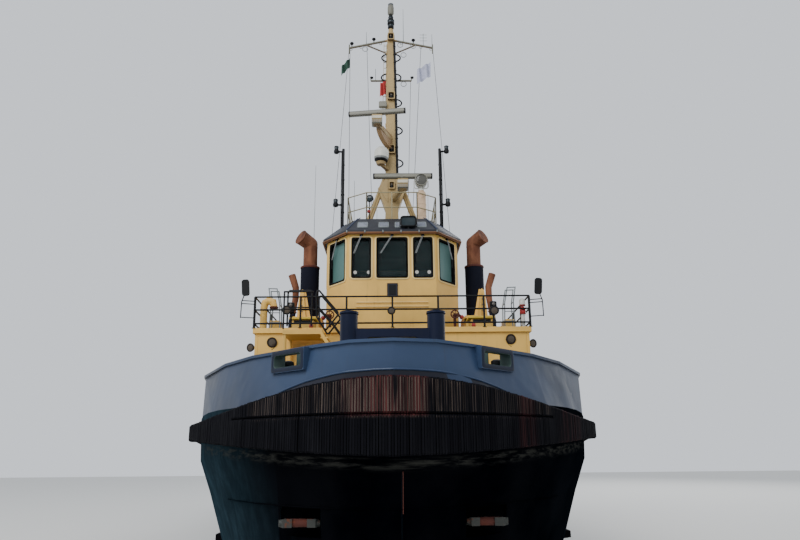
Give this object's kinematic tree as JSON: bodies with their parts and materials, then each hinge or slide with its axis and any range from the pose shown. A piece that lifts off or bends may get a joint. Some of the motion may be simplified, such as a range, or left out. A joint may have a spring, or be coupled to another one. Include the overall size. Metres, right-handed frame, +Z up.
{
  "type": "harbour tug",
  "caption": "Harbour tug: decked hull with rubber fenders, deckhouse and wheelhouse, mast with turning radars, tow winches, doors, and steerable screws in tubes.",
  "frame": {"origin": "on the waterline, amidships, on the centreline", "axes": "+X toward the port side, +Y toward the stern (the bow points to -Y), +Z up"},
  "size_m": [10.5406, 30.0003, 25.69],
  "materials": {
    "hull_paint": "near-black navy hull paint, scuffed",
    "bulwark_paint": "slate blue paint, dented and rubbed",
    "fender_rubber": "black-brown ribbed rubber, worn",
    "navy_paint": "navy paint on tow gear",
    "anchor_steel": "grey anchor, rusty",
    "drum_steel": "bare steel drum",
    "grey_paint": "grey deck paint",
    "cream_paint": "cream-yellow paint, rust stained",
    "window_glass": "dark teal tinted glass",
    "roof_paint": "dark slate roof paint",
    "exhaust_rust": "rust-brown heated steel above navy paint",
    "black_paint": "black paint",
    "mast_paint": "pale cream paint, stained",
    "white_plastic": "white glass-fibre shell",
    "screw_bronze": "bronze, dull"
  },
  "bodies": {
    "ship": {"hull": "hull_paint", "skeg": "hull_paint", "bulwark_bow": "bulwark_paint", "bulwark_port": "bulwark_paint", "bulwark_starboard": "bulwark_paint", "bulwark_stern": "bulwark_paint", "fender_bow": "fender_rubber", "fender_port": "fender_rubber", "fender_starboard": "fender_rubber", "fender_stern": "fender_rubber", "strake_port": "fender_rubber", "strake_starboard": "fender_rubber", "tow_bitt": "navy_paint", "anchor_port": "anchor_steel", "anchor_starboard": "anchor_steel", "bow_winch_frame": "navy_paint", "aft_winch_frame": "navy_paint", "aft_bitt": "navy_paint", "deckhouse_front": "cream_paint", "deckhouse_port": "cream_paint", "deckhouse_starboard": "cream_paint", "deckhouse_aft": "cream_paint", "bridge_deck": "cream_paint", "fore_stair": "cream_paint", "wheelhouse_front": "cream_paint", "wheelhouse_port": "cream_paint", "wheelhouse_starboard": "cream_paint", "wheelhouse_aft": "cream_paint", "helm_station": "grey_paint", "wheelhouse_glass": "window_glass", "wheelhouse_roof": "roof_paint", "exhaust_port": "exhaust_rust", "exhaust_starboard": "exhaust_rust", "bridge_rail_front": "black_paint", "bridge_rail_port": "black_paint", "bridge_rail_starboard": "black_paint", "roof_rail": "mast_paint", "mirror_port": "black_paint", "mirror_starboard": "black_paint", "raft_port": "white_plastic", "raft_starboard": "white_plastic", "pole_port": "black_paint", "pole_starboard": "black_paint", "mast": "mast_paint", "satellite_dome": "white_plastic", "searchlight_pedestal": "mast_paint"},
    "port_door": {"door_port": "cream_paint"},
    "starboard_door": {"door_starboard": "cream_paint"},
    "bridge_door": {"wheelhouse_door": "cream_paint"},
    "hatch": {"hatch_lid": "grey_paint"},
    "fore_drum": {"bow_winch_drum": "drum_steel"},
    "aft_drum": {"aft_winch_drum": "drum_steel"},
    "upper_radar": {"scanner_upper": "mast_paint"},
    "lower_radar": {"scanner_lower": "mast_paint"},
    "lamp": {"searchlight": "mast_paint"},
    "port_drive": {"drive_port": "hull_paint"},
    "starboard_drive": {"drive_starboard": "hull_paint"},
    "port_screw": {"screw_port": "screw_bronze"},
    "starboard_screw": {"screw_starboard": "screw_bronze"}
  },
  "joints": [
    {"name": "port_door_swing", "type": "hinge", "parent": "ship", "child": "port_door", "pos_m": [4.07, -1.445, 4], "axis": [0, 0, -1], "range_deg": [0, 150]},
    {"name": "starboard_door_swing", "type": "hinge", "parent": "ship", "child": "starboard_door", "pos_m": [-4.07, -1.445, 4], "axis": [0, 0, 1], "range_deg": [0, 150]},
    {"name": "bridge_door_swing", "type": "hinge", "parent": "ship", "child": "bridge_door", "pos_m": [0.375, -0.56, 7.4], "axis": [0, 0, -1], "range_deg": [0, 110]},
    {"name": "hatch_lid_swing", "type": "hinge", "parent": "ship", "child": "hatch", "pos_m": [0, 8.71, 2.7303], "axis": [1, 0, 0], "range_deg": [0, 100]},
    {"name": "fore_drum_turn", "type": "hinge", "parent": "ship", "child": "fore_drum", "pos_m": [0, -10.2, 4.69286], "axis": [1, 0, 0], "continuous": true},
    {"name": "aft_drum_turn", "type": "hinge", "parent": "ship", "child": "aft_drum", "pos_m": [0, 5.2, 3.05], "axis": [1, 0, 0], "continuous": true},
    {"name": "upper_radar_turn", "type": "hinge", "parent": "ship", "child": "upper_radar", "pos_m": [-0.545, -3.56, 15.3], "axis": [0, 0, 1], "continuous": true},
    {"name": "lower_radar_turn", "type": "hinge", "parent": "ship", "child": "lower_radar", "pos_m": [0.41, -3.65, 12.65], "axis": [0, 0, 1], "continuous": true},
    {"name": "searchlight_turn", "type": "hinge", "parent": "ship", "child": "lamp", "pos_m": [1.072, -3.95, 12.1], "axis": [0, 0, 1], "range_deg": [-170, 170]},
    {"name": "port_drive_steer", "type": "hinge", "parent": "ship", "child": "port_drive", "pos_m": [2.35, 11.4, -1.8], "axis": [0, 0, 1], "continuous": true},
    {"name": "starboard_drive_steer", "type": "hinge", "parent": "ship", "child": "starboard_drive", "pos_m": [-2.35, 11.4, -1.8], "axis": [0, 0, 1], "continuous": true},
    {"name": "port_screw_turn", "type": "hinge", "parent": "port_drive", "child": "port_screw", "pos_m": [2.35, 11.3, -3.45], "axis": [0, 1, 0], "continuous": true},
    {"name": "starboard_screw_turn", "type": "hinge", "parent": "starboard_drive", "child": "starboard_screw", "pos_m": [-2.35, 11.3, -3.45], "axis": [0, 1, 0], "continuous": true}
  ]
}
